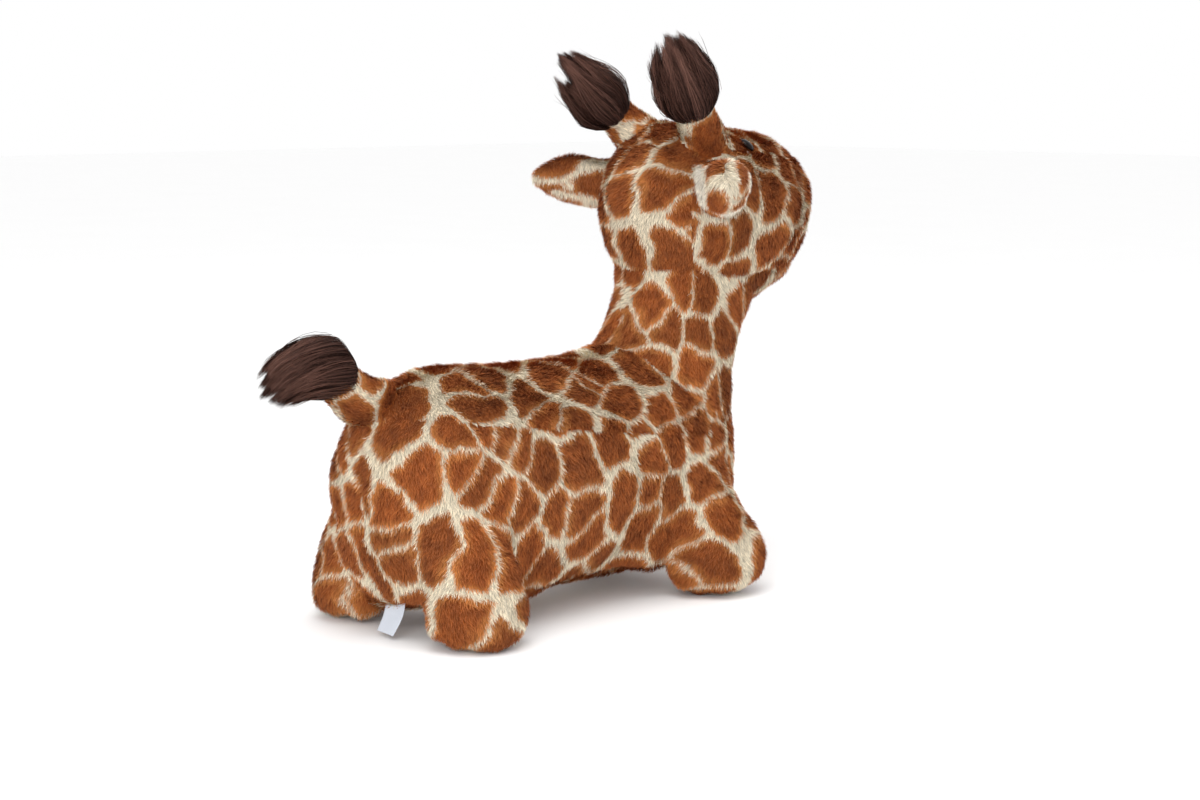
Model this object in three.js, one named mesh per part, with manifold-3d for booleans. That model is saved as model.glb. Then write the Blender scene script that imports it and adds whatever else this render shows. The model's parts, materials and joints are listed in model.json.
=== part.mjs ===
import * as THREE from "three";
import { mergeVertices } from "three/addons/utils/BufferGeometryUtils.js";
import Module from "manifold-3d";

// A ride-on plush giraffe: a printed cover over an air-filled bladder that fills its torso, neck
// and feet. Millimetres, +X forward, +Y to the animal's left, +Z up, floor at zero.

// Gaps and walls
const seatGap = 0.3;
const socketGap = 0.7;
const coverWall = 8;
const bladderWall = 1.6;

// Torso: a barrel that lies along X
const torsoRear = -66;
const torsoFront = 437;
const torsoMiddleHeight = 142;
const torsoHalfHeight = 123.5;
const torsoHalfWidth = 108;
const rumpHalfWidth = 104;
const chestHalfWidth = 94;
const torsoBluntness = 3.8;

// Neck: rises from the torso's front into the head
const neckBaseX = 338;
const neckBaseHeight = 150;
const neckTopX = 400;
const neckTopHeight = 395;
const neckHalfWidth = 72;
const neckHalfLength = 73;
const throatHalfLength = 97;
const shoulderHalfWidth = 92;
const shoulderHalfLength = 116;
const neckBluntness = 4;

// Head: from the skull's back to the muzzle's end
const skullX = 301;
const muzzleX = 590;
const skullHeight = 420;
const muzzleHeight = 400;
const headHalfWidth = 95;
const headHalfHeight = 100;
const skullHalfWidth = 86;
const skullHalfHeight = 98;
const muzzleHalfWidth = 72;
const muzzleHalfHeight = 84;
const headBluntness = 2.5;

// Feet, with toes turned outwards and flat soles
const footLengthSpacing = 346;
const footWidthSpacing = 214;
const footHalfLength = 62;
const footHalfWidth = 50;
const ankleHalfLength = 36;
const ankleHalfWidth = 32;
const hipHeight = 150;
const hipHalfSpacing = 40;
const toeAngle = 32;
const soleDepth = 0.5;
const footBluntness = 2.8;

// Ears: where they stand on the head, and their size
const earAlong = -0.5;
const earAngle = 19;
const earSweep = 45;
const earSharpness = 1.25;
const earLength = 94;
const earHalfHeight = 33;
const earHalfWidth = 29;
const earSwing = 25;

// Horns and their tufts of long pile
const hornAlong = -0.45;
const hornAngle = 58;
const hornLean = 44;
const hornSplay = 20;
const hornLength = 43;
const hornRootRadius = 24;
const hornTipRadius = 20;
const hornTuftLength = 98;
const hornTuftRadius = 37;
const hornTuftCover = 10;
const hornTuftNarrowing = 4;
const tuftBoreGap = 1.2;
const hornSwing = 20;

// Tail and its tuft of long pile
const tailAlong = -0.91;
const tailRise = 36;
const tailLength = 40;
const tailRootRadius = 31;
const tailTipRadius = 24;
const tailRootDip = 6;
const tailSwing = 25;
const tailTuftReach = 92;
const tailTuftLift = 26;
const tailTuftDrop = 12;
const tailTuftRadius = 36;
const tailTuftTipRadius = 22;
const tuftBluntness = 2.2;

// Eyes: domes on shanks, held by washers behind the cover
const eyeAlong = -0.06;
const eyeAngle = 50;
const eyeRadius = 12;
const eyeBulge = 6;
const eyeShankRadius = 2.5;
const eyeWasherRadius = 9;
const eyeWasherThickness = 2;
const eyeWasherSink = 1;
const eyeShankPast = 2;

// Valve in a recess of the bladder's belly
const valveX = 190;
const valveRecessRadius = 25;
const valveRecessDepth = 24;
const valveFlangeRadius = 20;
const valveFlangeThickness = 2;
const valveNeckRadius = 9;
const valveNeckLength = 18;
const plugStemRadius = 5.7;
const plugStemLength = 14;
const plugCapRadius = 11;
const plugCapThickness = 3;

// Zip along the belly
const zipLength = 176;
const zipTapeWidth = 13;
const zipTapeThickness = 1.2;
const zipTapeLift = 4;
const zipToothPitch = 7;
const zipToothWidth = 5;
const zipToothHeight = 2.4;
const zipToothOverlap = 1.6;
const zipStopLength = 4;
const sliderLength = 12;
const sliderWall = 1.4;
const pullLength = 8;
const pullWidth = 6;
const pullThickness = 1.6;
const pullPinRadius = 1;

// Care label at the seam between the rear feet
const labelWidth = 30;
const labelLength = 34;
const labelThickness = 0.6;
const labelAlong = -0.86;
const labelDrop = 0.5;

// Fineness of the round forms
const torsoRings = 16;
const torsoSides = 24;
const headRings = 12;
const headSides = 20;
const neckRings = 8;
const neckSides = 20;
const legRings = 8;
const legSides = 16;
const rootRings = 12;
const rootSides = 20;
const tuftRings = 9;
const tuftSides = 16;
const capRings = 9;
const fittingSides = 12;
const insideFineness = 0.5;

const wasm = await Module();
wasm.setup();

const degrees = Math.PI / 180;

// Colours and surfaces
const plush = () => new THREE.MeshStandardMaterial({ color: 0xa5592b, roughness: 0.95 });
const longPile = () => new THREE.MeshStandardMaterial({ color: 0x4a332b, roughness: 0.85 });
const fibre = () => new THREE.MeshStandardMaterial({ color: 0xf2efe8, roughness: 1 });
const vinyl = () => new THREE.MeshStandardMaterial({ color: 0xd8d4c8, roughness: 0.4 });
const whitePlastic = () => new THREE.MeshStandardMaterial({ color: 0xf4f4f2, roughness: 0.35 });
const eyeBlack = () => new THREE.MeshStandardMaterial({ color: 0x0b0908, roughness: 0.08 });
const zipCloth = () => new THREE.MeshStandardMaterial({ color: 0xc9a57c, roughness: 0.9 });
const zipMetal = () => new THREE.MeshStandardMaterial({ color: 0x9c9a96, roughness: 0.3, metalness: 1 });
const labelCloth = () => new THREE.MeshStandardMaterial({ color: 0xeef1f6, roughness: 0.8 });

// Solids for cutting and joining, and back to geometry
function toSolid(geometry) {
  const bare = geometry.clone();
  bare.deleteAttribute("normal");
  bare.deleteAttribute("uv");
  const merged = mergeVertices(bare, 1e-4);
  const vertProperties = new Float32Array(merged.attributes.position.array);
  const triVerts = new Uint32Array(merged.index.array);
  return new wasm.Manifold(new wasm.Mesh({ numProp: 3, vertProperties, triVerts }));
}

function toGeometry(solid) {
  const mesh = solid.getMesh();
  const geometry = new THREE.BufferGeometry();
  geometry.setAttribute("position", new THREE.BufferAttribute(mesh.vertProperties, 3));
  geometry.setIndex(new THREE.BufferAttribute(mesh.triVerts, 1));
  return geometry;
}

const joined = (solids) => solids.reduce((sum, next) => sum.add(next));
const without = (solid, ...cutters) => cutters.reduce((rest, cutter) => rest.subtract(cutter), solid);

const animal = new THREE.Group();

function addPiece(name, shape, material, parent = animal) {
  const geometry = shape.isBufferGeometry ? shape : toGeometry(shape);
  const mesh = new THREE.Mesh(geometry, material);
  mesh.name = name;
  parent.add(mesh);
  return mesh;
}

// A stuffed form is a bent path with a half width and a half depth at its start, middle and end.
// Bluntness is 2 on an egg, and more squares its ends off.
function bent(start, bend, end) {
  return new THREE.QuadraticBezierCurve3(
    new THREE.Vector3(...start),
    new THREE.Vector3(...bend),
    new THREE.Vector3(...end));
}

function valueAlong([start, middle, end], along) {
  return middle + along * (end - start) / 2 + along * along * ((start + end) / 2 - middle);
}

function formRing(form, along, swell, inset) {
  const share = 0.5 + along * (0.5 - inset / form.path.getLength());
  const step = 0.001;
  const ahead = form.path.getPoint(share + step).sub(form.path.getPoint(share - step)).normalize();
  const side = form.side.clone().addScaledVector(ahead, -form.side.dot(ahead)).normalize();
  const up = new THREE.Vector3().crossVectors(ahead, side);
  return {
    centre: form.path.getPoint(share),
    side: side.multiplyScalar((valueAlong(form.halfWidths, along) - inset) * swell),
    up: up.multiplyScalar((valueAlong(form.halfDepths, along) - inset) * swell),
  };
}

function ringPoint(ring, angle) {
  return ring.centre.clone()
    .addScaledVector(ring.side, Math.cos(angle))
    .addScaledVector(ring.up, Math.sin(angle));
}

function formPoints(form, inset) {
  const points = [];
  for (let row = 1; row < form.rings; row += 1) {
    const latitude = (row / form.rings - 0.5) * Math.PI;
    const reach = Math.abs(Math.sin(latitude)) ** (2 / form.bluntness);
    const swell = Math.cos(latitude) ** (2 / form.bluntness);
    const ring = formRing(form, Math.sign(latitude) * reach, swell, inset);
    for (let column = 0; column < form.sides; column += 1) {
      points.push(ringPoint(ring, column / form.sides * 2 * Math.PI));
    }
  }
  return [...points, formRing(form, -1, 0, inset).centre, formRing(form, 1, 0, inset).centre];
}

function formFaces({ rings, sides }) {
  const faces = [];
  const startTip = (rings - 1) * sides;
  const lastRow = startTip - sides;
  for (let column = 0; column < sides; column += 1) {
    const next = (column + 1) % sides;
    faces.push(startTip, next, column, startTip + 1, lastRow + column, lastRow + next);
    for (let row = 0; row < lastRow; row += sides) {
      faces.push(row + column, row + next, row + sides + next);
      faces.push(row + column, row + sides + next, row + sides + column);
    }
  }
  return faces;
}

function stuffedForm(form, inset = 0) {
  const geometry = new THREE.BufferGeometry().setFromPoints(formPoints(form, inset));
  return geometry.setIndex(formFaces(form));
}

const formSolid = (form, inset) => toSolid(stuffedForm(form, inset));

// A spot on a form's surface: along from -1 to 1, angle in degrees up from the left side
function surfaceSpot(form, along, angle) {
  const pointAt = (value, turn) => {
    const swell = (1 - Math.abs(value) ** form.bluntness) ** (1 / form.bluntness);
    return ringPoint(formRing(form, value, swell, 0), turn);
  };
  const turn = angle * degrees;
  const step = 0.001;
  const ahead = pointAt(along + step, turn).sub(pointAt(along - step, turn));
  const around = pointAt(along, turn + step).sub(pointAt(along, turn - step));
  return { point: pointAt(along, turn), normal: around.cross(ahead).normalize() };
}

// The frame of what stands on a spot: Y along it, X along its hinge
function standing(origin, direction, hinge) {
  const y = direction.clone().normalize();
  const x = hinge.clone().addScaledVector(y, -hinge.dot(y)).normalize();
  const z = new THREE.Vector3().crossVectors(x, y);
  return new THREE.Matrix4().makeBasis(x, y, z).setPosition(origin);
}

const stood = (geometry, frame) => toSolid(geometry.clone().applyMatrix4(frame));

// A turned body about Y, from points of radius and height, the lowest first
function turned(points, sides) {
  const outline = points.map(([radius, height]) => new THREE.Vector2(radius, height));
  return new THREE.LatheGeometry(outline, sides);
}

// Half of an outline that narrows from its full radius to the axis
function taper(radius, length, sharpness = 1, rings = rootRings) {
  const points = [];
  for (let step = 0; step < rings / 2; step += 1) {
    const angle = step / rings * Math.PI;
    points.push([radius * Math.cos(angle) ** sharpness, length * Math.sin(angle)]);
  }
  return [...points, [0, length]];
}

const lifted = (points, rise) => points.map(([radius, height]) => [radius, height + rise]);
const roundRoot = (radius) => taper(radius, -radius).reverse();
const ball = (radius) => turned([...roundRoot(radius), ...taper(radius, radius).slice(1)], rootSides);

// The hollow in which a round root turns: a ball with a mouth that widens by the swing
function socket(radius, swing) {
  const room = radius + socketGap;
  const angle = swing * degrees;
  const rim = [room * Math.cos(angle), -room * Math.sin(angle)];
  const mouth = [rim[0] + (radius - rim[1]) * Math.tan(angle), radius];
  const deep = roundRoot(room).filter(([, height]) => height < rim[1]);
  return turned([...deep, rim, mouth, [0, radius]], rootSides);
}

// A rod and a ring about Y between two heights, and a block between pairs of coordinates
const rod = (radius, low, high) =>
  turned([[0, low], [radius, low], [radius, high], [0, high]], fittingSides);
const ring = (bore, radius, low, high) =>
  turned([[bore, low], [radius, low], [radius, high], [bore, high], [bore, low]], fittingSides);

function block([x0, x1], [y0, y1], [z0, z1]) {
  const box = new THREE.BoxGeometry(x1 - x0, y1 - y0, z1 - z0);
  return box.translate((x0 + x1) / 2, (y0 + y1) / 2, (z0 + z1) / 2);
}

// The span between two distances from the middle, on the hand's side
const across = (hand, inner, outer) => [hand * inner, hand * outer].sort((a, b) => a - b);

// The body's forms
const sideways = new THREE.Vector3(0, 1, 0);
const up = new THREE.Vector3(0, 0, 1);

const torso = {
  path: bent(
    [torsoRear, 0, torsoMiddleHeight],
    [(torsoRear + torsoFront) / 2, 0, torsoMiddleHeight],
    [torsoFront, 0, torsoMiddleHeight]),
  side: sideways,
  halfWidths: [rumpHalfWidth, torsoHalfWidth, chestHalfWidth],
  halfDepths: [torsoHalfHeight, torsoHalfHeight, torsoHalfHeight],
  bluntness: torsoBluntness,
  rings: torsoRings,
  sides: torsoSides,
};

const neck = {
  path: bent(
    [neckBaseX, 0, neckBaseHeight],
    [neckTopX, 0, (neckBaseHeight + neckTopHeight) / 2],
    [neckTopX, 0, neckTopHeight]),
  side: sideways,
  halfWidths: [shoulderHalfWidth, neckHalfWidth, neckHalfWidth],
  halfDepths: [shoulderHalfLength, neckHalfLength, throatHalfLength],
  bluntness: neckBluntness,
  rings: neckRings,
  sides: neckSides,
};

const head = {
  path: bent(
    [skullX, 0, skullHeight],
    [(skullX + muzzleX) / 2, 0, skullHeight],
    [muzzleX, 0, muzzleHeight]),
  side: sideways,
  halfWidths: [skullHalfWidth, headHalfWidth, muzzleHalfWidth],
  halfDepths: [skullHalfHeight, headHalfHeight, muzzleHalfHeight],
  bluntness: headBluntness,
  rings: headRings,
  sides: headSides,
};

function legForm(end, hand) {
  const x = end * footLengthSpacing;
  const y = hand * footWidthSpacing / 2;
  const toes = toeAngle * degrees;
  return {
    path: bent([x, hand * hipHalfSpacing, hipHeight], [x, y, hipHeight / 2], [x, y, -soleDepth]),
    side: new THREE.Vector3(Math.cos(toes), hand * Math.sin(toes), 0),
    halfWidths: [ankleHalfLength, (ankleHalfLength + footHalfLength) / 2, footHalfLength],
    halfDepths: [ankleHalfWidth, (ankleHalfWidth + footHalfWidth) / 2, footHalfWidth],
    bluntness: footBluntness,
    rings: legRings,
    sides: legSides,
  };
}

const hands = { left: 1, right: -1 };
const legs = [];
for (const [side, hand] of Object.entries(hands)) {
  legs.push({ name: `cover_leg_rear_${side}`, form: legForm(0, hand) });
  legs.push({ name: `cover_leg_front_${side}`, form: legForm(1, hand) });
}

const bladderForms = [torso, neck, ...legs.map((leg) => leg.form)];
const coarser = (form) => ({
  ...form,
  rings: Math.round(form.rings * insideFineness),
  sides: Math.round(form.sides * insideFineness),
});
const bodySpace = (inset) => joined(bladderForms.map((form) => formSolid(coarser(form), inset)));
const coverHollow = bodySpace(coverWall);
const floorReach = footLengthSpacing + 2 * footHalfLength;
const belowFloor = toSolid(block(
  [-floorReach, floorReach],
  [-floorReach, floorReach],
  [-coverWall, 0]));

// Tail: a stub that turns in a shallow socket of the rump, and a tuft that swings on its round end
const rump = surfaceSpot(torso, tailAlong, 90);
const rise = tailRise * degrees;
const tailDirection = new THREE.Vector3(-Math.cos(rise), 0, Math.sin(rise));
const tailRoot = rump.point.clone().addScaledVector(rump.normal, tailRootRadius - tailRootDip);
const tailFrame = standing(tailRoot, tailDirection, sideways);
const tailSocket = stood(socket(tailRootRadius, tailSwing), tailFrame);
const tailEnd = lifted(taper(tailTipRadius, tailTipRadius), tailLength);
const tailStub = turned([...roundRoot(tailRootRadius), ...tailEnd], rootSides);
addPiece("tail_stub", tailStub, plush()).applyMatrix4(tailFrame);

const tuftRoot = tailRoot.clone().addScaledVector(tailDirection, tailLength);
const tuftTip = tuftRoot.clone().add(new THREE.Vector3(-tailTuftReach, 0, -tailTuftDrop));
const tuftBend = tuftRoot.clone().add(new THREE.Vector3(-tailTuftReach / 2, 0, tailTuftLift));
const tailTuft = {
  path: new THREE.QuadraticBezierCurve3(tuftRoot, tuftBend, tuftTip),
  side: sideways,
  halfWidths: [tailTipRadius, tailTuftRadius, tailTuftTipRadius],
  halfDepths: [tailTipRadius, tailTuftRadius, tailTuftTipRadius],
  bluntness: tuftBluntness,
  rings: tuftRings,
  sides: tuftSides,
};
const tuftSocket = toSolid(ball(tailTipRadius + socketGap).translate(...tuftRoot.toArray()));
addPiece("tail_tuft", without(formSolid(tailTuft), tuftSocket), longPile());

// Ears and horns turn in sockets of the head
const headSockets = [];
for (const [side, hand] of Object.entries(hands)) {
  const mirrored = (angle) => (hand > 0 ? angle : 180 - angle);
  const sweep = earSweep * degrees;
  const earDirection = new THREE.Vector3(-Math.sin(sweep), hand * Math.cos(sweep), 0);
  const earHinge = new THREE.Vector3(Math.cos(sweep), hand * Math.sin(sweep), 0);
  const earSpot = surfaceSpot(head, earAlong, mirrored(earAngle));
  const earFrame = standing(earSpot.point, earDirection, earHinge);
  const earBlade = taper(earHalfHeight, earLength, earSharpness, capRings).slice(1);
  const ear = turned([...roundRoot(earHalfHeight), ...earBlade], rootSides);
  ear.scale(earHalfWidth / earHalfHeight, 1, 1);
  addPiece(`ear_${side}`, ear, plush()).applyMatrix4(earFrame);
  const earSocket = socket(earHalfHeight, earSwing);
  earSocket.scale((earHalfWidth + socketGap) / (earHalfHeight + socketGap), 1, 1);
  headSockets.push(stood(earSocket, earFrame));

  const hornSpot = surfaceSpot(head, hornAlong, mirrored(hornAngle));
  const lean = Math.tan(hornLean * degrees);
  const splay = Math.tan(hornSplay * degrees);
  const hornFrame = standing(hornSpot.point, new THREE.Vector3(-lean, hand * splay, 1), sideways);
  const hornEnd = [[hornTipRadius, hornLength], [0, hornLength]];
  const horn = turned([...roundRoot(hornRootRadius), ...hornEnd], rootSides);
  addPiece(`horn_${side}`, horn, plush()).applyMatrix4(hornFrame);
  headSockets.push(stood(socket(hornRootRadius, hornSwing), hornFrame));

  const tuftStart = hornLength - hornTuftCover;
  const tuft = {
    path: bent(
      [0, tuftStart, 0],
      [0, tuftStart + hornTuftLength / 2, 0],
      [0, tuftStart + hornTuftLength, 0]),
    side: new THREE.Vector3(1, 0, 0),
    halfWidths: [hornTuftRadius, hornTuftRadius, hornTuftRadius / hornTuftNarrowing],
    halfDepths: [hornTuftRadius, hornTuftRadius, hornTuftRadius / hornTuftNarrowing],
    bluntness: tuftBluntness,
    rings: tuftRings,
    sides: tuftSides,
  };
  const hornBore = toSolid(rod(hornTipRadius + tuftBoreGap, 0, hornLength + seatGap));
  const tuftShape = without(formSolid(tuft), hornBore);
  addPiece(`horn_tuft_${side}`, tuftShape, longPile()).applyMatrix4(hornFrame);
}

// Eyes: domes outside, shanks through the cover, washers behind it
const eyeCuts = [];
for (const [side, hand] of Object.entries(hands)) {
  const spot = surfaceSpot(head, eyeAlong, hand > 0 ? eyeAngle : 180 - eyeAngle);
  const frame = standing(spot.point, spot.normal, sideways);
  const shankEnd = -(coverWall + eyeWasherSink + eyeWasherThickness + eyeShankPast);
  const dome = lifted(taper(eyeRadius, eyeBulge, 1, capRings), seatGap);
  const shank = [[0, shankEnd], [eyeShankRadius, shankEnd], [eyeShankRadius, seatGap]];
  const eye = turned([...shank, ...dome], rootSides);
  addPiece(`eye_${side}`, eye, eyeBlack()).applyMatrix4(frame);

  const washerTop = -(coverWall + eyeWasherSink);
  const shankBore = eyeShankRadius + seatGap;
  const washer = ring(shankBore, eyeWasherRadius, washerTop - eyeWasherThickness, washerTop);
  addPiece(`eye_washer_${side}`, washer, whitePlastic()).applyMatrix4(frame);
  const pocketEnd = shankEnd - seatGap;
  const bore = stood(rod(shankBore, pocketEnd, eyeBulge), frame);
  const pocket = stood(rod(eyeWasherRadius + seatGap, pocketEnd, washerTop + seatGap), frame);
  eyeCuts.push(bore, pocket);
}

// Valve: the bladder's belly has a recess with a soft seat, and a plug that pulls out downwards
const bellyHeight = torsoMiddleHeight - torsoHalfHeight;
const recessTop = bellyHeight + coverWall + valveRecessDepth;
const flangeBottom = recessTop - seatGap - valveFlangeThickness;
const upright = new THREE.Matrix4().makeRotationX(Math.PI / 2).setPosition(valveX, 0, 0);
const recess = (grow) => stood(rod(valveRecessRadius + grow, 0, recessTop + grow), upright);
const valveBore = stood(rod(valveNeckRadius + seatGap, 0, recessTop + valveNeckLength), upright);

const seatBore = plugStemRadius + seatGap;
const neckTop = flangeBottom + valveNeckLength;
const valveSeat = turned([
  [seatBore, flangeBottom],
  [valveFlangeRadius, flangeBottom],
  [valveFlangeRadius, flangeBottom + valveFlangeThickness],
  [valveNeckRadius, flangeBottom + valveFlangeThickness],
  [valveNeckRadius, neckTop],
  [seatBore, neckTop],
  [seatBore, flangeBottom],
], fittingSides);
addPiece("valve_seat", valveSeat, vinyl()).applyMatrix4(upright);

const capTop = flangeBottom - seatGap;
const valvePlug = turned([
  [0, capTop - plugCapThickness],
  [plugCapRadius, capTop - plugCapThickness],
  [plugCapRadius, capTop],
  [plugStemRadius, capTop],
  [plugStemRadius, capTop + plugStemLength],
  [0, capTop + plugStemLength],
], fittingSides);
addPiece("valve_plug", valvePlug, whitePlastic()).applyMatrix4(upright);

// Bladder: one skin around the air, open at the valve
const skin = coverWall + seatGap;
const air = without(bodySpace(skin + bladderWall), recess(bladderWall));
addPiece("bladder", without(bodySpace(skin), recess(0), air, valveBore), vinyl());

// Zip: two tapes with teeth that mesh, a stop at each end, a slider and its pull
const zipRear = valveX - zipLength / 2;
const zipFront = valveX + zipLength / 2;
const tapeBottom = bellyHeight + zipTapeLift;
const toothBottom = tapeBottom - zipToothHeight;
const zipSlot = toSolid(block(
  [zipRear - seatGap, zipFront + seatGap],
  [-zipTapeWidth - seatGap, zipTapeWidth + seatGap],
  [0, bellyHeight + 2 * coverWall]));

for (const [side, hand] of Object.entries(hands)) {
  const tape = block(
    [zipRear, zipFront],
    across(hand, zipToothOverlap + seatGap, zipTapeWidth),
    [tapeBottom, tapeBottom + zipTapeThickness]);
  const teeth = [];
  const toothLength = zipToothPitch / 2 - seatGap;
  const firstTooth = zipRear + zipStopLength + zipToothPitch / 2;
  const lastTooth = zipFront - zipStopLength - zipToothPitch;
  for (let x = firstTooth; x < lastTooth; x += zipToothPitch) {
    const start = hand > 0 ? x : x + zipToothPitch / 2;
    const tooth = block(
      [start, start + toothLength],
      across(hand, -zipToothOverlap, zipToothWidth),
      [toothBottom, tapeBottom + zipTapeThickness / 2]);
    teeth.push(toSolid(tooth));
  }
  addPiece(`zip_half_${side}`, joined([toSolid(tape), ...teeth]), zipCloth());
}

for (const [end, start] of [["rear", zipRear], ["front", zipFront - zipStopLength]]) {
  const stop = block(
    [start, start + zipStopLength],
    [-zipToothWidth, zipToothWidth],
    [toothBottom, tapeBottom - seatGap]);
  addPiece(`zip_stop_${end}`, stop, zipMetal());
}

const sliderX = zipRear + zipStopLength + seatGap + sliderLength / 2;
const sliderSpan = [sliderX - sliderLength / 2, sliderX + sliderLength / 2];
const channelHalf = zipToothWidth + seatGap;
const channelFloor = toothBottom - seatGap;
const sliderBottom = channelFloor - sliderWall;
const eyeletRadius = pullPinRadius + socketGap + sliderWall;
const pullPivot = new THREE.Vector3(sliderX, 0, sliderBottom - seatGap - eyeletRadius);
const lugInner = pullWidth / 2 + seatGap;
const lugOuter = lugInner + sliderWall;
const sliderPieces = [
  block(sliderSpan, [-channelHalf - sliderWall, channelHalf + sliderWall], [sliderBottom, channelFloor]),
];
for (const hand of [1, -1]) {
  const flange = across(hand, channelHalf, channelHalf + sliderWall);
  sliderPieces.push(block(sliderSpan, flange, [sliderBottom, tapeBottom - seatGap]));
  const lug = [sliderX - eyeletRadius, sliderX + eyeletRadius];
  const lugSpan = across(hand, lugInner, lugOuter);
  sliderPieces.push(block(lug, lugSpan, [pullPivot.z - eyeletRadius, channelFloor]));
}
const pin = rod(pullPinRadius, -lugInner - sliderWall / 2, lugInner + sliderWall / 2);
const pinFrame = new THREE.Matrix4().setPosition(pullPivot);
const slider = joined([...sliderPieces.map(toSolid), stood(pin, pinFrame)]);
addPiece("zip_slider", slider, zipMetal());

const tongue = block(
  [-pullThickness / 2, pullThickness / 2],
  [-pullWidth / 2, pullWidth / 2],
  [-eyeletRadius - pullLength, -pullPinRadius - socketGap]);
const eyelet = toSolid(rod(eyeletRadius, -pullWidth / 2, pullWidth / 2));
const pinHole = toSolid(rod(pullPinRadius + socketGap, -pullWidth, pullWidth));
const pull = without(eyelet.add(toSolid(tongue)), pinHole);
addPiece("zip_pull", pull, zipMetal()).position.copy(pullPivot);

// Care label, hanging from the seam
const seam = surfaceSpot(torso, labelAlong, 270).point;
const label = block(
  [-labelThickness / 2, labelThickness / 2],
  [-labelWidth / 2, labelWidth / 2],
  [-labelLength, 0]);
addPiece("care_label", label, labelCloth()).position.copy(seam).addScaledVector(up, -labelDrop);

// Covers: each form's shell, cut by the larger ones
const torsoRoom = formSolid(torso, -seatGap);
const neckRoom = formSolid(neck, -seatGap);
const headRoom = formSolid(head, -seatGap);
const torsoCover = without(formSolid(torso), coverHollow, tailSocket, zipSlot);
addPiece("cover_torso", torsoCover, plush());
addPiece("cover_neck", without(formSolid(neck), torsoRoom, headRoom, coverHollow), plush());
const headCuts = [coverHollow, ...headSockets, ...eyeCuts];
const headCover = without(formSolid(head), formSolid(coarser(head), coverWall), ...headCuts);
addPiece("cover_head", headCover, plush());
const headFilling = without(formSolid(coarser(head), skin), ...headCuts);
addPiece("head_filling", headFilling, fibre());
for (const { name, form } of legs) {
  addPiece(name, without(formSolid(form), torsoRoom, neckRoom, coverHollow, belowFloor), plush());
}

// The origin is under the middle of the whole animal's box
const box = new THREE.Box3().setFromObject(animal);
const middle = box.getCenter(new THREE.Vector3());
animal.position.set(-middle.x, -middle.y, 0);

export default animal;
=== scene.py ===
import json
import math

import bmesh
import bpy
import numpy as np
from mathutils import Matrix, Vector
from mathutils.bvhtree import BVHTree


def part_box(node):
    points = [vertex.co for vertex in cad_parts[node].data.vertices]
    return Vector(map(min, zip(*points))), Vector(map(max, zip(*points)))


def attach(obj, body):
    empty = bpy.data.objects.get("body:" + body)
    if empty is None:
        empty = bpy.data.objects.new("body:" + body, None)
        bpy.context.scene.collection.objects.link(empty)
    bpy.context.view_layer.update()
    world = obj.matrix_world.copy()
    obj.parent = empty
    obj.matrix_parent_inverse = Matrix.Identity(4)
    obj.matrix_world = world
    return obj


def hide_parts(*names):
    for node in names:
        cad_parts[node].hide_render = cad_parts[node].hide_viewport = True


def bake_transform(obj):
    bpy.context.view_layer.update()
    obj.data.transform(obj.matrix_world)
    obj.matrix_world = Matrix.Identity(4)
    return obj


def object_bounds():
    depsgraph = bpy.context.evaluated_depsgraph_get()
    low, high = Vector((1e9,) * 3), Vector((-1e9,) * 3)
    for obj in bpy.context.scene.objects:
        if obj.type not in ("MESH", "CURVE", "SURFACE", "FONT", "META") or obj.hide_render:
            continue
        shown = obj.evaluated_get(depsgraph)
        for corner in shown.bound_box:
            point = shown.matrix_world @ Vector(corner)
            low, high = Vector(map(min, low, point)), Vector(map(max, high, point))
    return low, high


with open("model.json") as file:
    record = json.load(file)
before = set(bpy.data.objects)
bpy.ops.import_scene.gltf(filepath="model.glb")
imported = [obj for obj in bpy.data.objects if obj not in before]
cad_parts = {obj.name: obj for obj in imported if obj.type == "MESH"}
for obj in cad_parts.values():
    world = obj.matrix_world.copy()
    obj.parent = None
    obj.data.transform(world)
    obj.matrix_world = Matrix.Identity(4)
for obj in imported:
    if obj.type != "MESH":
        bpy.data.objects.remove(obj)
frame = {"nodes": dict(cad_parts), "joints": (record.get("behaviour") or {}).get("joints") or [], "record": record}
cad_low, cad_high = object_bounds()

# The camera stands behind the giraffe and to its right, a little above its head.
# Its place is given from the middle of the rear feet, where they stand on the floor.
soles = {mount["name"]: Vector(mount["pos_m"]) for mount in frame["record"]["mounts"]}
rear_middle = (soles["sole_rear_left"] + soles["sole_rear_right"]) / 2
image_width = 1200
focal_pixels = 2205
sensor_width = 36
heading = math.radians(45.5)
pitch = math.radians(8.13)
from_rear_feet = Vector((-1.412, -1.711, 0.555))

camera_data = bpy.data.cameras.new("camera")
camera_data.sensor_width = sensor_width
camera_data.lens = focal_pixels / image_width * sensor_width
camera = bpy.data.objects.new("camera", camera_data)
bpy.context.scene.collection.objects.link(camera)
sight = Vector((
    math.cos(heading) * math.cos(pitch),
    math.sin(heading) * math.cos(pitch),
    -math.sin(pitch)))
camera.location = rear_middle + from_rear_feet
camera.rotation_euler = sight.to_track_quat("-Z", "Y").to_euler()
bpy.context.scene.camera = camera


class Field:
    """A value that varies over a surface. Sums written with it become nodes."""

    def __init__(self, paint, socket):
        self.paint = paint
        self.socket = socket

    def sum(self, operation, *terms):
        return self.paint.node("Math", {"operation": operation}, dict(enumerate(terms)))

    def __add__(self, other):
        return self.sum("ADD", self, other)

    def __sub__(self, other):
        return self.sum("SUBTRACT", self, other)

    def __rsub__(self, other):
        return self.sum("SUBTRACT", other, self)

    def __mul__(self, other):
        return self.sum("MULTIPLY", self, other)

    __radd__ = __add__
    __rmul__ = __mul__


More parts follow.
